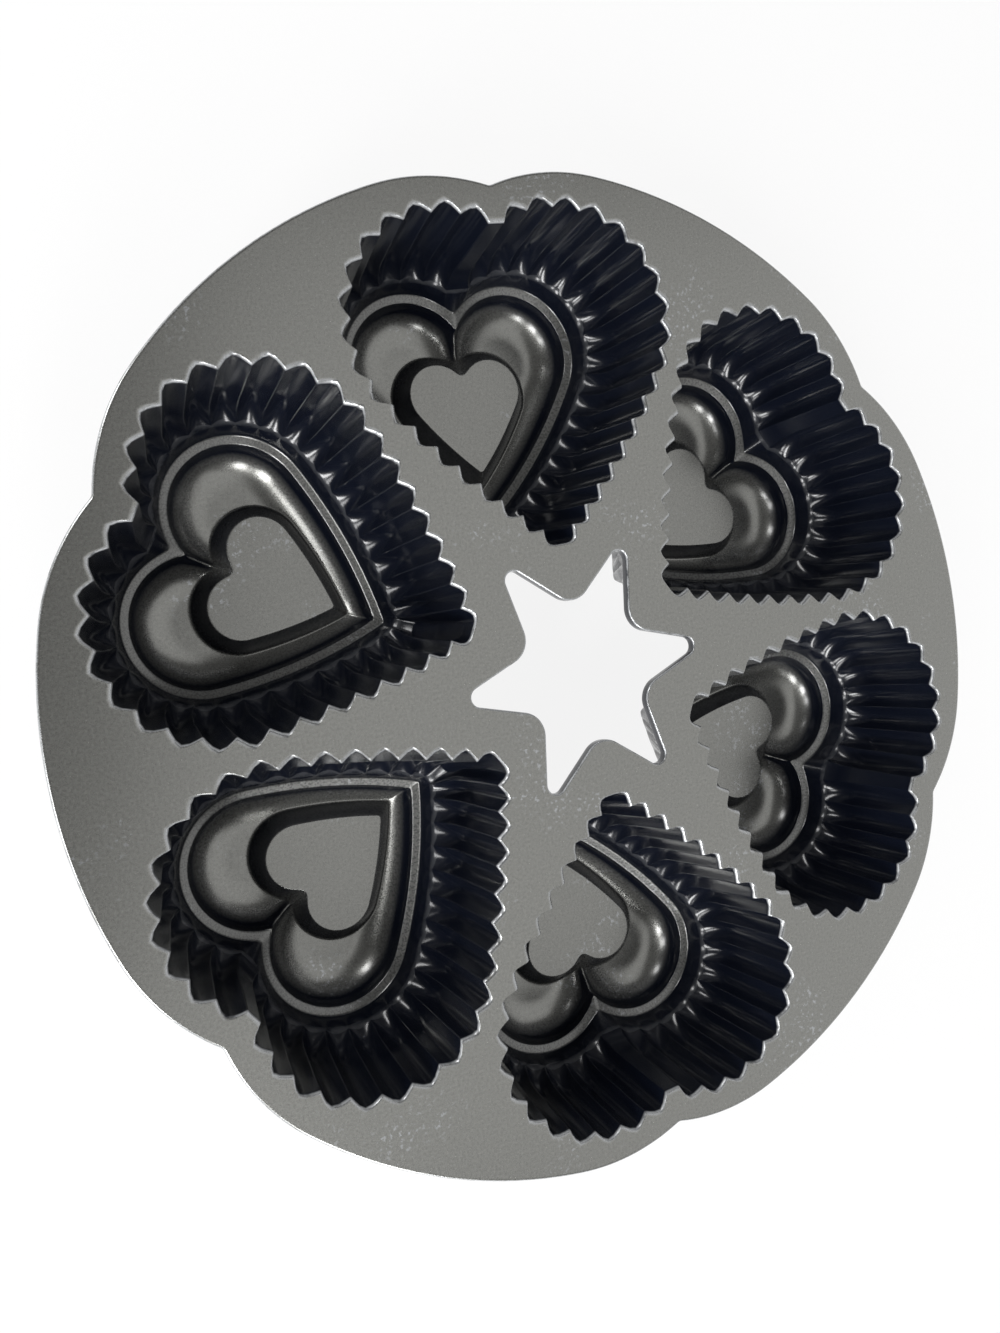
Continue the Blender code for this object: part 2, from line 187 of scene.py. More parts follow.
class Heart:
    """Half of a heart: a side arc from the tip, tangent inside a lobe circle up to the cleft."""

    def __init__(self, tip, lobe_centre, spread, lobe_radius, side_radius):
        self.centre = (spread, lobe_centre)
        self.lobe_radius = lobe_radius
        self.side_radius = side_radius
        rise = lobe_centre - tip
        reach = math.hypot(spread, rise)
        along = (side_radius ** 2 - (side_radius - lobe_radius) ** 2 + reach ** 2) / (2 * reach)
        across = math.sqrt(side_radius ** 2 - along ** 2)
        self.side_centre = (
            along * spread / reach - across * rise / reach,
            tip + along * rise / reach + across * spread / reach,
        )
        self.join = math.atan2(lobe_centre - self.side_centre[1], spread - self.side_centre[0])

    def side_u(self, v, offset=0.0):
        """How far out the side arc lies at a sideways place near the tip."""
        radius = self.side_radius + offset
        return self.side_centre[1] - math.sqrt(radius ** 2 - (v - self.side_centre[0]) ** 2)

    def lobe_u(self, v, offset=0.0):
        """How far out the lobe lies at a sideways place near the cleft."""
        radius = self.lobe_radius + offset
        return self.centre[1] + math.sqrt(max(0.0, radius ** 2 - (v - self.centre[0]) ** 2))

    def half_width(self, offset=0.0):
        return self.centre[0] + self.lobe_radius + offset

    def spans(self, offset, first_v, last_v):
        """Both radii, the angle of the first place, the side's length and the whole length."""
        side = self.side_radius + offset
        lobe = self.lobe_radius + offset
        start = -math.acos((first_v - self.side_centre[0]) / side)
        end = math.acos(max(-1.0, min(1.0, (last_v - self.centre[0]) / lobe)))
        side_length = side * (self.join - start)
        return side, lobe, start, side_length, side_length + lobe * (end - self.join)

    def point(self, fraction, offset, first_v, last_v):
        """A place and its outward direction, by share of the length from the tip to the cleft."""
        side, lobe, start, side_length, length = self.spans(offset, first_v, last_v)
        run = fraction * length
        if run < side_length:
            angle = start + run / side
            centre, radius = self.side_centre, side
        else:
            angle = self.join + (run - side_length) / lobe
            centre, radius = self.centre, lobe
        out = (math.cos(angle), math.sin(angle))
        return (centre[0] + radius * out[0], centre[1] + radius * out[1]), out

    def nearest_fraction(self, place, first_v, last_v):
        """The share of the length at which the outline comes nearest to a place."""
        side, lobe, start, side_length, length = self.spans(0.0, first_v, last_v)
        angle = math.atan2(place[1] - self.side_centre[1], place[0] - self.side_centre[0])
        if angle < self.join:
            run = side * (angle - start)
        else:
            angle = math.atan2(place[1] - self.centre[1], place[0] - self.centre[0])
            run = side_length + lobe * (angle - self.join)
        return max(0.0, min(1.0, run / length))

    def inside(self, v, u, offset=0.0):
        """How far a place lies inside the heart's outline."""
        v = abs(v)
        side_away = (v - self.side_centre[0], u - self.side_centre[1])
        lobe_away = (v - self.centre[0], u - self.centre[1])
        beside_cleft = lobe_away[0] < 0 < lobe_away[1]
        if not beside_cleft and math.atan2(side_away[1], side_away[0]) < self.join:
            return self.side_radius + offset - math.hypot(*side_away)
        return self.lobe_radius + offset - math.hypot(*lobe_away)


RIM = Heart(TIP_RADIUS, TIP_RADIUS + LOBE_DISTANCE, LOBE_SPREAD, LOBE_RADIUS, SIDE_RADIUS)
TIER = Heart(
    TIP_RADIUS + TIER_TIP_INSET,
    TIP_RADIUS + LOBE_DISTANCE + TIER_SHIFT,
    LOBE_SPREAD,
    LOBE_RADIUS - TIER_LOBE_INSET,
    TIER_SIDE_RADIUS,
)
BOSS = Heart(
    TIER.side_u(0.0, -LEDGE_WIDTH) + BOSS_TIP_MARGIN,
    TIER.centre[1] + TIER.lobe_radius - LEDGE_WIDTH - BOSS_TOP_MARGIN - BOSS_LOBE_RADIUS,
    TIER.half_width(-LEDGE_WIDTH) - BOSS_SIDE_MARGIN - BOSS_LOBE_RADIUS,
    BOSS_LOBE_RADIUS,
    BOSS_SIDE_RADIUS,
)


FOOT_INSET = RIM.half_width() - TIER.half_width(FOOT_STEP)


def bent_inset(depth, bend_inset, foot_inset):
    """How far in a line down the wall has come: straight at first, bent in an arc to its foot."""
    if depth <= WALL_BEND_DEPTH:
        return bend_inset * depth / WALL_BEND_DEPTH
    tilt = math.atan2(WALL_BEND_DEPTH, bend_inset)
    fall, run = FOOT_DEPTH - WALL_BEND_DEPTH, foot_inset - bend_inset
    radius = (fall ** 2 + run ** 2) / (2 * (run * math.sin(tilt) - fall * math.cos(tilt)))
    down = min(depth, FOOT_DEPTH) - WALL_BEND_DEPTH
    turned = math.acos(min(1.0, math.cos(tilt) + down / radius))
    return bend_inset + radius * (math.sin(tilt) - math.sin(turned))


def cusp_inset(depth):
    return bent_inset(depth, CUSP_BEND_INSET, FOOT_INSET)


def flute_share(depth):
    """How deep the flutes are at a depth: near their feet they rise like the bowls of spoons."""
    crest = bent_inset(depth, FLUTE_BEND_INSET, FOOT_INSET + FLUTE_DEPTH - FOOT_FLUTE_DEPTH)
    return 1.0 - (crest - cusp_inset(depth)) / FLUTE_DEPTH


def wall_heart(depth):
    """The fluted wall's heart at a depth, with the half widths of its tip and its cleft."""
    down = cusp_inset(depth) / FOOT_INSET
    heart = Heart(
        RIM.side_u(0.0) + down * (TIER.side_u(0.0, FOOT_STEP) - RIM.side_u(0.0)),
        RIM.centre[1] + down * (TIER.centre[1] - RIM.centre[1]),
        LOBE_SPREAD,
        RIM.lobe_radius - down * FOOT_INSET,
        RIM.side_radius + down * (TIER.side_radius + FOOT_STEP - RIM.side_radius),
    )
    tip_width = TIP_FLUTE_HALF_WIDTH + down * (FOOT_TIP_HALF_WIDTH - TIP_FLUTE_HALF_WIDTH)
    cleft_width = CLEFT_FLAT_HALF_WIDTH + down * (FOOT_CLEFT_HALF_WIDTH - CLEFT_FLAT_HALF_WIDTH)
    return heart, tip_width, cleft_width


def flute_stations():
    """Places along a heart's side with a flute's lift there at the rim and at its foot.

    At the rim a flute is a pointed arch: nearly straight flanks, a rounded crest and a small
    rounded cusp, where the places lie closer together. At its foot it is a soft round bowl.
    """
    pitches = [
        TIP_PITCH_RATIO + (1 - TIP_PITCH_RATIO) * min(1.0, i / PITCH_GROWTH_FLUTES)
        for i in range(FLUTES_PER_SIDE)
    ]
    total = sum(pitches)
    crest, cusp = FLUTE_CREST_SOFTNESS, FLUTE_CUSP_SOFTNESS
    stations = []
    for i, pitch in enumerate(pitches):
        start = sum(pitches[:i]) / total
        for j in range(FLUTE_STEPS):
            turn = (1 - math.cos(math.pi * j / FLUTE_STEPS)) / 2
            arch = 1 - (math.hypot(2 * turn - 1, crest) - crest) / (math.hypot(1.0, crest) - crest)
            lift = (math.hypot(arch, cusp) - cusp) / (math.hypot(1.0, cusp) - cusp)
            sine = (1 - math.cos(2 * math.pi * turn)) / 2
            bowl = 4 * turn * (1 - turn)
            wave = FOOT_WAVE_SOFTNESS * sine + (1 - FOOT_WAVE_SOFTNESS) * bowl
            stations.append((start + turn * pitch / total, lift, wave))
    stations.append((1.0, 0.0, 0.0))
    return stations


STATIONS = flute_stations()


def foot_drifts():
    """How far a flute that runs straight down has moved along the foot, at each station."""
    foot = Heart(
        TIER.side_u(0.0, FOOT_STEP), TIER.centre[1], LOBE_SPREAD,
        TIER.lobe_radius + FOOT_STEP, TIER.side_radius + FOOT_STEP,
    )
    drifts = []
    for fraction, _, _ in STATIONS:
        place, _ = RIM.point(fraction, 0.0, TIP_FLUTE_HALF_WIDTH, CLEFT_FLAT_HALF_WIDTH)
        straight = foot.nearest_fraction(place, FOOT_TIP_HALF_WIDTH, FOOT_CLEFT_HALF_WIDTH)
        fade = min(1.0, fraction / TIP_DRIFT_FADE, (1.0 - fraction) / CLEFT_DRIFT_FADE)
        drifts.append((straight - fraction) * fade)
    return drifts


DRIFTS = foot_drifts()


def heart_ring(heart, offset, depth, tip_width, cleft_width,
               blunt=0.0, flute=0.0, tip_flute=0.0, soft=0.0, down=1.0,
               tip_round=TIP_ROUNDING, cleft_round=CLEFT_ROUNDING):
    """A ring round a heart. Blunt cuts its tip and its cleft off square; flutes bulge outwards."""
    half = []
    blunt_tip = heart.side_u(tip_width, offset)
    for share in TIP_STOPS:
        v = share * tip_width
        sharp = heart.side_u(math.hypot(v, tip_round * (1 - share ** 2)), offset)
        pocket = tip_flute * (1 - share ** TIP_FLUTE_SQUARENESS) ** (1 / TIP_FLUTE_SQUARENESS)
        half.append((v, sharp + (blunt_tip - sharp) * blunt - pocket, -depth))
    for (fraction, pointed, wave), drift in zip(STATIONS, DRIFTS):
        lift = pointed + (wave - pointed) * soft
        place, out = heart.point(fraction + drift * down, offset, tip_width, cleft_width)
        half.append((place[0] + flute * lift * out[0], place[1] + flute * lift * out[1], -depth))
    blunt_cleft = heart.lobe_u(cleft_width, offset)
    for share in CLEFT_STOPS:
        v = share * cleft_width
        sharp = heart.lobe_u(math.hypot(v, cleft_round * (1 - share ** 2)), offset)
        half.append((v, sharp + (blunt_cleft - sharp) * blunt, -depth))
    left = [(-v, u, z) for v, u, z in reversed(half) if abs(v) > ON_AXIS]
    return half + left


def wall_ring(depth, offset=0.0, share=None):
    """The fluted wall at one depth. Below the flutes' feet it goes on as a smooth steep band."""
    heart, tip_width, cleft_width = wall_heart(depth)
    past = max(0.0, depth - FOOT_DEPTH)
    if share is None:
        share = flute_share(depth)
    soft = min(1.0, depth / WAVE_DEPTH)
    return heart_ring(
        heart, offset - FOOT_STEP * past / FOOT_DROP, depth, tip_width + offset, cleft_width,
        1.0 - past / FOOT_DROP, FLUTE_DEPTH * share, TIP_FLUTE_DEPTH * share, soft,
        cusp_inset(depth) / FOOT_INSET,
    )


def tier_ring(offset, depth):
    return heart_ring(TIER, offset, depth, FOOT_TIP_HALF_WIDTH, FOOT_CLEFT_HALF_WIDTH)


def boss_ring(offset, depth):
    return heart_ring(
        BOSS, offset, depth, BOSS_TIP_HALF_WIDTH, BOSS_CLEFT_HALF_WIDTH,
        tip_round=BOSS_TIP_ROUNDING, cleft_round=BOSS_CLEFT_ROUNDING,
    )


def floor_depth_at(heart, v, u, offset, start_depth, fillet):
    """Depth of a floor that meets its wall in a quarter round, with a thin crest at the cleft."""
    inside = max(0.0, heart.inside(math.hypot(v, CREST_RADIUS), u, offset))
    if u > heart.centre[1]:
        reach = CREST_REACH * math.exp(-(v / CREST_WIDTH) ** 2)
        inside -= reach * min(1.0, inside / (2 * CREST_REACH))
    share = min(1.0, inside / fillet)
    return start_depth + FLOOR_DROP * math.sqrt(1 - (1 - share) ** 2)


def floor_rings(wall_offset, inner, start_depth, fillet):
    """Rings over a filleted floor, from its wall in to the foot of what rises in its middle."""
    outer = tier_ring(wall_offset, start_depth)
    rings = []
    for stop in FLOOR_STOPS:
        ring = []
        for start, end in zip(outer, inner):
            v = start[0] + (end[0] - start[0]) * stop
            u = start[1] + (end[1] - start[1]) * stop
            ring.append((v, u, -floor_depth_at(TIER, v, u, wall_offset, start_depth, fillet)))
        rings.append(ring)
    return rings


def rounded(before, corner, after, reach):
    """Rings that round off the corner ring, starting the given reach to each side of it."""
    rings = [[] for _ in CORNER_STOPS]
    for a, b, c in zip(before, corner, after):
        a, b, c = Vector(a), Vector(b), Vector(c)
        start = b + (a - b) * min(0.5, reach / max((a - b).length, 1e-6))
        end = b + (c - b) * min(0.5, reach / max((c - b).length, 1e-6))
        for ring, t in zip(rings, CORNER_STOPS):
            ring.append(tuple(start * (1 - t) ** 2 + b * (2 * t * (1 - t)) + end * t ** 2))
    return rings


def cup_inner_rings():
    """Rings from the seam down the cavity to the small raised heart's middle, with how pale their
    edges are painted, as worn metal and as painted highlight.
    """
    rings = [(wall_ring(depth), 0.0) for depth in WALL_DEPTHS]
    for stop in BEND_STOPS:
        rings.append((wall_ring(WALL_BEND_DEPTH + stop * (FOOT_DEPTH - WALL_BEND_DEPTH)), 0.0))
    before_foot = rings[-1][0]
    foot = wall_ring(FOOT_DEPTH)
    band = wall_ring(FOOT_DEPTH + FOOT_BAND_REACH, share=0.0)
    ledge_outer = tier_ring(0.0, LEDGE_DEPTH)
    lip = tier_ring(-LEDGE_LIP_WIDTH, LEDGE_DEPTH + LEDGE_LIP_FALL)
    ledge_inner = tier_ring(-LEDGE_WIDTH, LEDGE_INNER_DEPTH)
    rings += [(ring, FOOT_WEAR_AND_HIGHLIGHT) for ring in rounded(before_foot, foot, band, FOOT_CORNER)]
    rings.append((band, 0.0))
    rings += [(ring, 0.0) for ring in rounded(band, ledge_outer, lip, LEDGE_CORNER)]
    rings += [(ring, LEDGE_WEAR_AND_HIGHLIGHT) for ring in rounded(ledge_outer, lip, ledge_inner, LEDGE_CORNER)]
    rings.append((ledge_inner, 0.0))

    boss_outside = boss_ring(BOSS_FOOT_APRON, FLOOR_DEPTH)
    boss_foot = boss_ring(0.0, FLOOR_DEPTH)
    floor = floor_rings(-LEDGE_WIDTH, boss_outside, LEDGE_INNER_DEPTH, FLOOR_FILLET)
    boss_foot = [
        (v, u, -floor_depth_at(TIER, v, u, -LEDGE_WIDTH, LEDGE_INNER_DEPTH, FLOOR_FILLET))
        for v, u, _ in boss_foot
    ]
    boss_edge = boss_ring(-BOSS_SLOPE_WIDTH, BOSS_TOP_DEPTH)
    boss_top = boss_ring(-BOSS_SLOPE_WIDTH - BOSS_TOP_APRON, BOSS_TOP_DEPTH)
    rings += [(ring, 0.0) for ring in floor]
    boss_foot_rings = rounded(floor[-1], boss_foot, boss_edge, BOSS_FOOT_CORNER)
    boss_edge_rings = rounded(boss_foot, boss_edge, boss_top, BOSS_TOP_CORNER)
    rings += [(ring, 0.0) for ring in boss_foot_rings]
    rings += [(ring, BOSS_WEAR_AND_HIGHLIGHT) for ring in boss_edge_rings]
    rings.append((boss_top, 0.0))
    return rings


def held_in_sector(ring):
    """The ring, held off the planes halfway to the neighbouring cups."""
    held = []
    for v, u, z in ring:
        side = 1.0 if v >= 0 else -1.0
        past = side * v * math.cos(HALF_SECTOR) - u * math.sin(HALF_SECTOR) + SEAM_GAP / 2
        if past > 0:
            v -= side * past * math.cos(HALF_SECTOR)
            u += past * math.sin(HALF_SECTOR)
        held.append((v, u, z))
    return held


def cup_outer_rings():
    """From the seam down a cup's outside, to the hollow under the small raised heart."""
    under_deck = DECK_THICKNESS + SEAM_GAP
    rings = [
        wall_ring(SEAM_DEPTH + SEAM_GAP, SEAM_STEP - SEAM_GAP),
        wall_ring(under_deck, SEAM_STEP - SEAM_GAP),
    ]
    for turn in range(EDGE_STEPS + 1):
        angle = math.pi / 2 * turn / EDGE_STEPS
        reach = WALL + UNDER_DECK_FILLET * (1 - math.sin(angle))
        depth = under_deck + UNDER_DECK_FILLET * (1 - math.cos(angle))
        rings.append(wall_ring(depth, reach, OUTER_FLUTE_SHARE))
    for stop in OUTER_WALL_STOPS:
        depth = under_deck + UNDER_DECK_FILLET
        depth += (FOOT_DEPTH - depth) * stop
        share = OUTER_FLUTE_SHARE * (1 - (1 - OUTER_FLUTE_SHARE) * stop)
        rings.append(wall_ring(depth, WALL, share))
    corner = tier_ring(WALL, LEDGE_INNER_DEPTH + WALL)
    shelf = tier_ring(WALL - LEDGE_WIDTH, LEDGE_INNER_DEPTH + WALL)
    rings += rounded(rings[-1], corner, shelf, UNDERSIDE_CORNER)
    hollow_inset = BOSS_SLOPE_WIDTH + BOSS_HOLLOW_INSET
    hollow_foot = boss_ring(-WALL, PAN_HEIGHT)
    hollow_edge = boss_ring(-hollow_inset, BOSS_TOP_DEPTH + WALL)
    hollow_top = boss_ring(-hollow_inset - HOLLOW_APRON, BOSS_TOP_DEPTH + WALL)
    outside = boss_ring(-WALL + HOLLOW_APRON, PAN_HEIGHT)
    start, fillet = LEDGE_INNER_DEPTH + WALL, FLOOR_FILLET + WALL
    floor = floor_rings(WALL - LEDGE_WIDTH, outside, start, fillet)
    hollow_foot = [
        (v, u, -floor_depth_at(TIER, v, u, WALL - LEDGE_WIDTH, start, fillet))
        for v, u, _ in hollow_foot
    ]
    rings += floor
    rings += rounded(floor[-1], hollow_foot, hollow_edge, HOLLOW_CORNER)
    rings += rounded(hollow_foot, hollow_edge, hollow_top, HOLLOW_CORNER)
    rings.append(hollow_top)
    return [(held_in_sector(ring), 0.0) for ring in rings]


def painted_lit_share_at(depth):
    """How much of a cup's flat faces is painted lit grey rather than as painted shade: none in the
    flutes, and little on the ledge.
    """
    if depth < PAINTED_LIT_BELOW:
        return 0.0
    return LEDGE_PAINTED_LIT_SHARE if depth < LEDGE_INNER_DEPTH - 0.0001 else 1.0


def heart_cup_mesh():
    """One closed body: the cavity's surface, the hidden seam and the outside."""
    bm = bmesh.new()
    # The first layer paints edges pale, as worn metal and as painted highlight; the second gives
    # how much of a face is painted lit grey rather than as painted shade.
    wear_and_highlight = bm.verts.layers.float.new("edge_wear_and_highlight")
    painted_lit_share = bm.verts.layers.float.new("painted_lit_share")
    rings = []
    inner = cup_inner_rings()
    seam = len(inner) - 1
    for index, (ring, amount) in enumerate(list(reversed(inner)) + cup_outer_rings()):
        verts = [bm.verts.new((v, u, PAN_HEIGHT + z)) for v, u, z in ring]
        for vert in verts:
            vert[wear_and_highlight] = amount
            vert[painted_lit_share] = painted_lit_share_at(PAN_HEIGHT - vert.co.z) if index <= seam else 1.0
        rings.append(verts)
    for index, (upper, lower) in enumerate(zip(rings, rings[1:])):
        for i in range(len(upper)):
            face = bm.faces.new((upper[i - 1], upper[i], lower[i], lower[i - 1]))
            face.smooth = index not in (seam, seam + 1, seam + 2)
            if index == seam:
                face.edges[0].smooth = face.edges[2].smooth = False
    bm.faces.new(rings[0])
    bm.faces.new(rings[-1])
    bmesh.ops.recalc_face_normals(bm, faces=bm.faces)
    mesh = bpy.data.meshes.new("heart_cup")
    bm.to_mesh(mesh)
    bm.free()
    return mesh


def cup_turn(index):
    """The angle about the pan's axis from the first cup to the cup of that index."""
    return -2 * HALF_SECTOR * index


def polar(radius, angle):
    return radius * math.cos(angle), radius * math.sin(angle)


def arc(centre, radius, start, end, count):
    points = []
    for i in range(count + 1):
        x, y = polar(radius, start + (end - start) * i / count)
        points.append((centre[0] + x, centre[1] + y))
    return points


def arc_count(radius, turn):
    return max(3, round(abs(turn) / (2 * math.acos(1 - ARC_SAG / radius))))


def deck_outline(offset):
    """Six arcs about the axis, led by tighter shoulder arcs into six rounded notches."""
    outer = math.hypot(*RIM.centre) + LOBE_RADIUS + EDGE_MARGIN
    notch = min(RIM.lobe_u(CLEFT_FLAT_HALF_WIDTH) + NOTCH_MARGIN, outer)
    inner = outer - SHOULDER_RADIUS
    lean_cosine = (inner ** 2 + notch ** 2 - SHOULDER_RADIUS ** 2) / (2 * inner * notch)
    lean = math.acos(min(1.0, lean_cosine))
    across = inner * math.sin(lean)
    both = SHOULDER_RADIUS + NOTCH_RADIUS
    turn = math.asin(across / both)
    notch_centre = inner * math.cos(lean) + math.sqrt(both ** 2 - across ** 2)
    few = arc_count(SHOULDER_RADIUS, turn + lean)
    many = arc_count(outer, 2 * (HALF_SECTOR - lean))
    points = []
    for index in range(CUP_COUNT):
        axis = math.pi / 2 + cup_turn(index)
        next_axis = axis - 2 * HALF_SECTOR
        hollow = polar(notch_centre, axis)
        after = polar(inner, axis - lean)
        before = polar(inner, next_axis + lean)
        shoulder = SHOULDER_RADIUS + offset
        inward = axis + math.pi
        rounding = arc(hollow, NOTCH_RADIUS - offset, inward - turn, inward + turn, NOTCH_STEPS)
        points += rounding[1:-1]
        points += arc(after, shoulder, axis + turn, axis - lean, few)
        points += arc((0.0, 0.0), outer + offset, axis - lean, next_axis + lean, many)[1:-1]
        points += arc(before, shoulder, next_axis + lean, next_axis - turn, few)
    return points


def star_outline(grow):
    """A star with rounded points between the hearts and rounded inner corners at their tips."""
    waist = TIP_RADIUS - STAR_MARGIN
    corner_centre = waist + STAR_CORNER_RADIUS
    tip_centre = waist + STAR_ARM - STAR_TIP_RADIUS
    tip_place = polar(tip_centre, HALF_SECTOR)
    away = (tip_place[0] - corner_centre, tip_place[1])
    lean = math.asin(min(1.0, (STAR_CORNER_RADIUS + STAR_TIP_RADIUS) / math.hypot(*away)))
    side = math.atan2(away[1], away[0]) - lean
    half_corner = math.pi / 2 - side
    half_tip = HALF_SECTOR + half_corner
    points = []
    for index in range(CUP_COUNT):
        axis = math.pi / 2 + cup_turn(index)
        tip_axis = axis - HALF_SECTOR
        corner = polar(corner_centre, axis)
        tip = polar(tip_centre, tip_axis)
        start = axis + math.pi - half_corner
        end = start + 2 * half_corner
        points += arc(corner, STAR_CORNER_RADIUS - grow, start, end, STAR_STEPS)
        start, end = tip_axis + half_tip, tip_axis - half_tip
        points += arc(tip, STAR_TIP_RADIUS + grow, start, end, STAR_STEPS)
    return points


def mouth_outline(index, depth, offset):
    """The fluted edge of a cup's mouth, turned to its place in the deck."""
    across, along = polar(1.0, cup_turn(index))
    ring = wall_ring(depth, offset)
    return [(v * across - u * along, v * along + u * across) for v, u, _ in ring]


def deck_mesh():
    """One closed body: flat faces with their openings, and rounded edges between them."""
    bm = bmesh.new()
    # The first layer paints edges pale, as worn metal and as painted highlight; the second gives
    # how much of a face is painted lit grey rather than as painted shade.
    wear_and_highlight = bm.verts.layers.float.new("edge_wear_and_highlight")
    painted_lit_share = bm.verts.layers.float.new("painted_lit_share")

    def loop(points, depth, amount):
        verts = [bm.verts.new((x, y, PAN_HEIGHT - depth)) for x, y in points]
        for vert in verts:
            vert[wear_and_highlight] = amount
            vert[painted_lit_share] = 1.0
        return verts

    def band(loops, smooth=True):
        for upper, lower in zip(loops, loops[1:]):
            for i in range(len(upper)):
                bm.faces.new((upper[i - 1], upper[i], lower[i], lower[i - 1])).smooth = smooth

    top_loops, bottom_loops = [], []
    rounding = [math.pi / 2 * i / EDGE_STEPS for i in range(EDGE_STEPS + 1)]
    for outline, way in ((deck_outline, -1.0), (star_outline, 1.0)):
        radius = DECK_EDGE_RADIUS
        loops = [loop(outline(way * (radius + COLLAR)), 0.0, 0.0)]
        # The rounded edge is painted palest at its middle, as worn metal and as painted highlight.
        for angle in rounding:
            inset, fall = radius * (1 - math.sin(angle)), radius * (1 - math.cos(angle))
            loops.append(loop(outline(way * inset), fall, math.sin(2 * angle)))
        for angle in reversed(rounding):
            inset, rise = radius * (1 - math.sin(angle)), radius * (1 - math.cos(angle))
            loops.append(loop(outline(way * inset), DECK_THICKNESS - rise, 0.0))
        loops.append(loop(outline(way * (radius + COLLAR)), DECK_THICKNESS, 0.0))
        band(loops)
        top_loops.append(loops[0])
        bottom_loops.append(loops[-1])
    for index in range(CUP_COUNT):
        radius = MOUTH_EDGE_RADIUS
        loops = [loop(mouth_outline(index, 0.0, radius + COLLAR), 0.0, 0.0)]
        # The mouth's rounded edge is painted palest at its middle, as worn metal and as painted
        # highlight.
        for angle in rounding:
            inset, fall = radius * (1 - math.sin(angle)), radius * (1 - math.cos(angle))
            loops.append(loop(mouth_outline(index, fall, inset), fall, math.sin(2 * angle)))
        loops.append(loop(mouth_outline(index, SEAM_DEPTH, 0.0), SEAM_DEPTH, 0.0))
        loops.append(loop(mouth_outline(index, SEAM_DEPTH, SEAM_STEP), SEAM_DEPTH, 0.0))
        loops.append(loop(mouth_outline(index, DECK_THICKNESS, SEAM_STEP), DECK_THICKNESS, 0.0))
        band(loops[:-2])
        band(loops[-3:], smooth=False)
        for i in range(len(loops[-3])):
            bm.edges.get((loops[-3][i - 1], loops[-3][i])).smooth = False
        top_loops.append(loops[0])
        bottom_loops.append(loops[-1])
    bm.edges.ensure_lookup_table()
    for loops in (top_loops, bottom_loops):
        edges = [
            bm.edges.get((verts[i - 1], verts[i])) for verts in loops for i in range(len(verts))
        ]
        bmesh.ops.triangle_fill(bm, use_beauty=True, edges=edges)
    bmesh.ops.recalc_face_normals(bm, faces=bm.faces)
    mesh = bpy.data.meshes.new("deck_plate")
    bm.to_mesh(mesh)
    bm.free()
    return mesh


def linear(hex_colour):
    """An sRGB hex colour as linear values."""
    values = [int(hex_colour[i:i + 2], 16) / 255 for i in (1, 3, 5)]
    values = [c / 12.92 if c <= 0.04045 else ((c + 0.055) / 1.055) ** 2.4 for c in values]
    return (*values, 1.0)


def add_node(tree, kind, settings=None, inputs=None):
    """Adds a node; an input is a value, or another node's output to link to."""
    node = tree.nodes.new(kind)
    for name, value in (settings or {}).items():
        setattr(node, name, value)
    for name, value in (inputs or {}).items():
        if isinstance(value, bpy.types.NodeSocket):
            tree.links.new(value, node.inputs[name])
        else:
            node.inputs[name].default_value = value
    return node


def per_metre(millimetres):
    """The scale of a pattern whose grains are this wide, in object coordinates."""
    return 1000.0 / millimetres


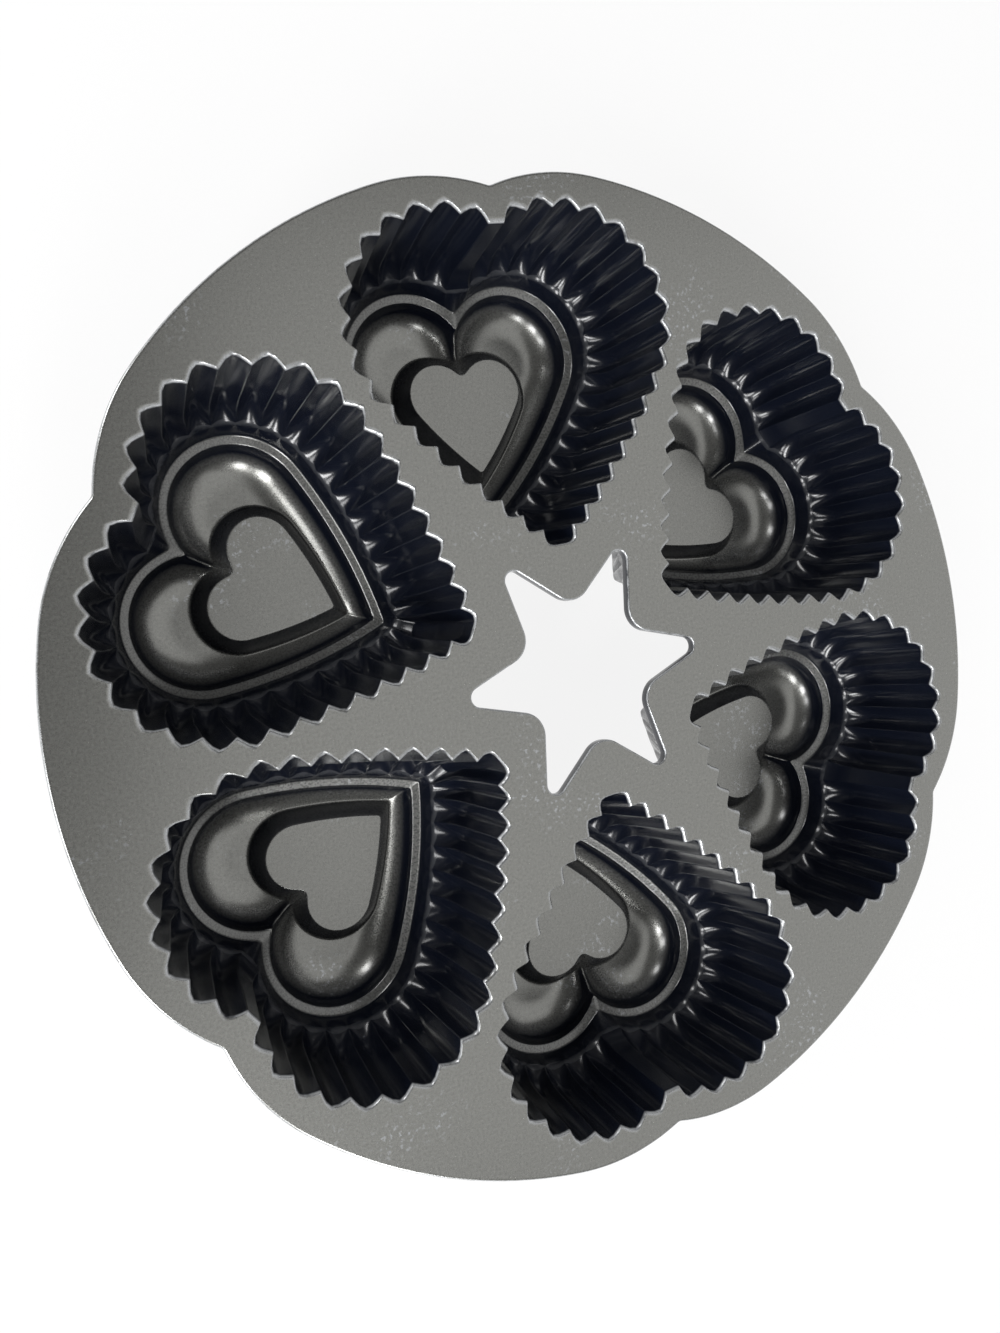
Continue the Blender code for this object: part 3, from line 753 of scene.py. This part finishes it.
def non_stick_coated_cast_aluminium():
    """A cast aluminium pan sprayed with a dark grey non-stick coating, used and washed.

    The coating is a satin film with fine metal flake. Flat faces are painted a warm mid grey,
    partly the coat's own tone and partly painted reflection of the light above; steep walls and
    the flute bowls are painted near black with a blue cast as painted shade; the casting's
    rounded edges are painted pale, as worn metal and as painted highlight.
    """
    material = bpy.data.materials.new("non_stick_coated_cast_aluminium")
    material.use_nodes = True
    tree = material.node_tree
    shader = tree.nodes["Principled BSDF"]
    place = add_node(tree, "ShaderNodeTexCoord")

    upward = add_node(tree, "ShaderNodeSeparateXYZ", inputs={0: place.outputs["Normal"]})
    level = add_node(tree, "ShaderNodeMath", {"operation": "ABSOLUTE"}, {0: upward.outputs["Z"]})
    painted_lit_share = add_node(tree, "ShaderNodeAttribute", {"attribute_name": "painted_lit_share"})
    # Steep faces are painted a near-black navy and flat faces grey: painted shade by slope. The
    # per-vertex lit share holds the grey back in the flute bowls and on the ledge, the same
    # painted shade.
    painted_shade_flatness = add_node(
        tree, "ShaderNodeMapRange", {"interpolation_type": "SMOOTHSTEP"},
        {
            "Value": level.outputs[0], "From Min": 0.52, "From Max": 0.95,
            "To Max": painted_lit_share.outputs["Fac"],
        },
    )
    # Real flake is about 0.05 mm across. It is drawn as coarse as it needs to show.
    grain = add_node(
        tree, "ShaderNodeTexNoise",
        inputs={
            "Vector": place.outputs["Object"], "Scale": per_metre(0.7), "Detail": 3.0,
            "Roughness": 0.7,
        },
    )
    # The flats' grey varies at random with the flake, and is partly painted reflection of the
    # light above.
    flake = add_node(
        tree, "ShaderNodeMix", {"data_type": "RGBA"},
        {0: grain.outputs["Fac"], 6: linear("#686865"), 7: linear("#a4a49f")},
    )
    coating = add_node(
        tree, "ShaderNodeMix", {"data_type": "RGBA"},
        {0: painted_shade_flatness.outputs["Result"], 6: linear("#0f131e"), 7: flake.outputs[2]},
    )
    wear_and_highlight = add_node(tree, "ShaderNodeAttribute", {"attribute_name": "edge_wear_and_highlight"})
    # Edges are painted pale in patches a few millimetres long, as worn metal and as painted
    # highlight
    patches = add_node(
        tree, "ShaderNodeTexNoise",
        inputs={
            "Vector": place.outputs["Object"], "Scale": per_metre(4.0), "Detail": 3.0,
            "Roughness": 0.6,
        },
    )
    pale_patches = add_node(
        tree, "ShaderNodeMapRange", {"interpolation_type": "SMOOTHSTEP"},
        {"Value": patches.outputs["Fac"], "From Min": 0.22, "From Max": 0.55},
    )
    bare_and_highlight = add_node(
        tree, "ShaderNodeMath", {"operation": "MULTIPLY"},
        {0: wear_and_highlight.outputs["Fac"], 1: pale_patches.outputs["Result"]},
    )
    # Utensils leave small flecks in clusters about 30 mm apart, on flat faces only
    cloud = add_node(
        tree, "ShaderNodeTexNoise",
        inputs={
            "Vector": place.outputs["Object"], "Scale": per_metre(30.0), "Detail": 4.0,
            "Roughness": 0.55,
        },
    )
    fleck = add_node(
        tree, "ShaderNodeTexNoise",
        inputs={
            "Vector": place.outputs["Object"], "Scale": per_metre(1.3), "Detail": 2.0,
            "Roughness": 0.6,
        },
    )
    flecks = add_node(
        tree, "ShaderNodeMapRange", {"interpolation_type": "SMOOTHSTEP"},
        {"Value": fleck.outputs["Fac"], "From Min": 0.57, "From Max": 0.66},
    )
    scuffed = add_node(
        tree, "ShaderNodeMapRange", {"interpolation_type": "SMOOTHSTEP"},
        {
            "Value": cloud.outputs["Fac"], "From Min": 0.54, "From Max": 0.64,
            "To Max": painted_shade_flatness.outputs["Result"],
        },
    )
    scuffs = add_node(
        tree, "ShaderNodeMath", {"operation": "MULTIPLY"},
        {0: flecks.outputs["Result"], 1: scuffed.outputs["Result"]},
    )
    pale_marks = add_node(
        tree, "ShaderNodeMath", {"operation": "MAXIMUM"},
        {0: bare_and_highlight.outputs[0], 1: scuffs.outputs[0]},
    )
    colour = add_node(
        tree, "ShaderNodeMix", {"data_type": "RGBA"},
        {0: pale_marks.outputs[0], 6: coating.outputs[2], 7: linear("#aeb0b2")},
    )
    roughness = add_node(
        tree, "ShaderNodeMapRange",
        inputs={"Value": grain.outputs["Fac"], "To Min": 0.25, "To Max": 0.30},
    )
    relief = add_node(
        tree, "ShaderNodeBump",
        inputs={"Height": grain.outputs["Fac"], "Strength": 0.06, "Distance": 0.0001},
    )
    tree.links.new(colour.outputs[2], shader.inputs["Base Color"])
    flakes_up = add_node(
        tree, "ShaderNodeMath", {"operation": "MULTIPLY"}, {0: painted_shade_flatness.outputs["Result"], 1: 0.9},
    )
    tree.links.new(flakes_up.outputs[0], shader.inputs["Metallic"])
    tree.links.new(roughness.outputs["Result"], shader.inputs["Roughness"])
    tree.links.new(relief.outputs["Normal"], shader.inputs["Normal"])
    shader.inputs["Specular IOR Level"].default_value = 0.05
    shader.inputs["Coat Weight"].default_value = 1.0
    shader.inputs["Coat Roughness"].default_value = 0.20
    shader.inputs["Coat IOR"].default_value = 1.58
    return material


def seen_as_white(tree):
    """1 for the rays that show the background: straight to the camera, mirrored or let through."""
    ray = add_node(tree, "ShaderNodeLightPath")
    mirrored = add_node(
        tree, "ShaderNodeMath", {"operation": "MAXIMUM"},
        {0: ray.outputs["Is Glossy Ray"], 1: ray.outputs["Is Transmission Ray"]},
    )
    seen = add_node(
        tree, "ShaderNodeMath", {"operation": "MAXIMUM"},
        {0: ray.outputs["Is Camera Ray"], 1: mirrored.outputs[0]},
    )
    return seen.outputs[0]


def seamless_white_paper():
    """A seamless white paper sheet: it shows as plain white, and keeps the pan's soft shadow."""
    material = bpy.data.materials.new("seamless_white_paper")
    material.use_nodes = True
    tree = material.node_tree
    shader = tree.nodes["Principled BSDF"]
    shader.inputs["Base Color"].default_value = linear("#f4f4f4")
    shader.inputs["Roughness"].default_value = 0.9
    glow = add_node(
        tree, "ShaderNodeEmission", inputs={"Color": linear("#ffffff"), "Strength": 1.0},
    )
    share = add_node(
        tree, "ShaderNodeMath", {"operation": "MULTIPLY"},
        {0: seen_as_white(tree), 1: SHEET_SHARE_SEEN_WHITE},
    )
    mix = add_node(
        tree, "ShaderNodeMixShader",
        inputs={0: share.outputs[0], 1: shader.outputs[0], 2: glow.outputs[0]},
    )
    tree.links.new(mix.outputs[0], tree.nodes["Material Output"].inputs["Surface"])
    return material


def add_pan():
    finish = non_stick_coated_cast_aluminium()
    deck = bpy.data.objects.new("deck_plate", deck_mesh())
    deck.data.materials.append(finish)
    bpy.context.scene.collection.objects.link(deck)
    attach(deck, "root")
    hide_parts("deck")
    mesh = heart_cup_mesh()
    mesh.materials.append(finish)
    for index in range(CUP_COUNT):
        number = str(index + 1)
        cup = bpy.data.objects.new("fluted_heart_cup_" + number, mesh.copy())
        cup.data.transform(Matrix.Rotation(cup_turn(index), 4, "Z"))
        bpy.context.scene.collection.objects.link(cup)
        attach(cup, "root")
        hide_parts("heart_cup_" + number)


def add_sheet():
    """A round white sheet that lies just under the pan and curves up into a low wall far off."""
    profile = [(radius, -SHEET_GAP) for radius in SHEET_FLAT_RADII]
    flat_end = SHEET_FLAT_RADII[-1]
    for step in range(1, SHEET_CURVE_STEPS + 1):
        x, z = polar(SHEET_CURVE_RADIUS, math.pi / 2 * (step / SHEET_CURVE_STEPS - 1))
        profile.append((flat_end + x, SHEET_CURVE_RADIUS + z - SHEET_GAP))
    profile.append((flat_end + SHEET_CURVE_RADIUS, SHEET_WALL_HEIGHT))
    bm = bmesh.new()
    rings = []
    for radius, z in profile:
        places = [polar(radius, 2 * math.pi * i / SHEET_STEPS) for i in range(SHEET_STEPS)]
        rings.append([bm.verts.new((x, y, z)) for x, y in places])
    for inner, outer in zip(rings, rings[1:]):
        for i in range(SHEET_STEPS):
            bm.faces.new((inner[i - 1], outer[i - 1], outer[i], inner[i])).smooth = True
    bm.faces.new(rings[0])
    mesh = bpy.data.meshes.new("white_sheet")
    bm.to_mesh(mesh)
    bm.free()
    sheet = bpy.data.objects.new("white_sheet", mesh)
    sheet.data.materials.append(seamless_white_paper())
    bpy.context.scene.collection.objects.link(sheet)


def add_lamp(name, place, target, width, height, power):
    """A rectangular lamp that faces its target, with its height upright."""
    lamp = bpy.data.lights.new(name, "AREA")
    lamp.shape = "RECTANGLE"
    lamp.size = width
    lamp.size_y = height
    lamp.energy = power
    lamp_object = bpy.data.objects.new(name, lamp)
    lamp_object.location = place
    aim = Vector(target) - Vector(place)
    lamp_object.rotation_euler = aim.to_track_quat("-Z", "Y").to_euler()
    bpy.context.scene.collection.objects.link(lamp_object)


def add_lights():
    """Four upright lamps round the left, a broad panel above on the right and a dim white room."""
    centre = (0.0, 0.0, PAN_HEIGHT)
    add_lamp("left_lamp", (-1.06, -0.19, 0.75), centre, LAMP_WIDTH, LAMP_HEIGHT, 4.6)
    add_lamp("lower_left_lamp", (-0.85, -0.66, 0.75), centre, LAMP_WIDTH, LAMP_HEIGHT, 10.5)
    add_lamp("lower_lamp", (-0.29, -1.04, 0.72), centre, LAMP_WIDTH, LAMP_HEIGHT, 7.2)
    add_lamp("upper_left_lamp", (-0.70, 0.83, 0.72), centre, LAMP_WIDTH, LAMP_HEIGHT, 4.6)
    add_lamp("overhead_panel", (0.85, -0.26, 1.40), centre, PANEL_WIDTH, PANEL_WIDTH, 9.8)
    world = bpy.data.worlds.new("white_room")
    world.use_nodes = True
    background = world.node_tree.nodes["Background"]
    background.inputs["Color"].default_value = (1.0, 1.0, 1.0, 1.0)
    background.inputs["Strength"].default_value = ROOM_STRENGTH
    bpy.context.scene.world = world


def add_camera():
    """The camera stands as the photograph's did, above and to the left of the pan."""
    camera = bpy.data.cameras.new("camera")
    camera.sensor_width = 36.0
    camera.lens = CAMERA_LENS
    camera_object = bpy.data.objects.new("camera", camera)
    camera_object.location = CAMERA_PLACE
    camera_object.rotation_euler = [math.radians(angle) for angle in CAMERA_TURN]
    bpy.context.scene.collection.objects.link(camera_object)
    bpy.context.scene.camera = camera_object


add_pan()
add_sheet()
add_lights()
add_camera()
bpy.context.scene.view_settings.view_transform = "Standard"
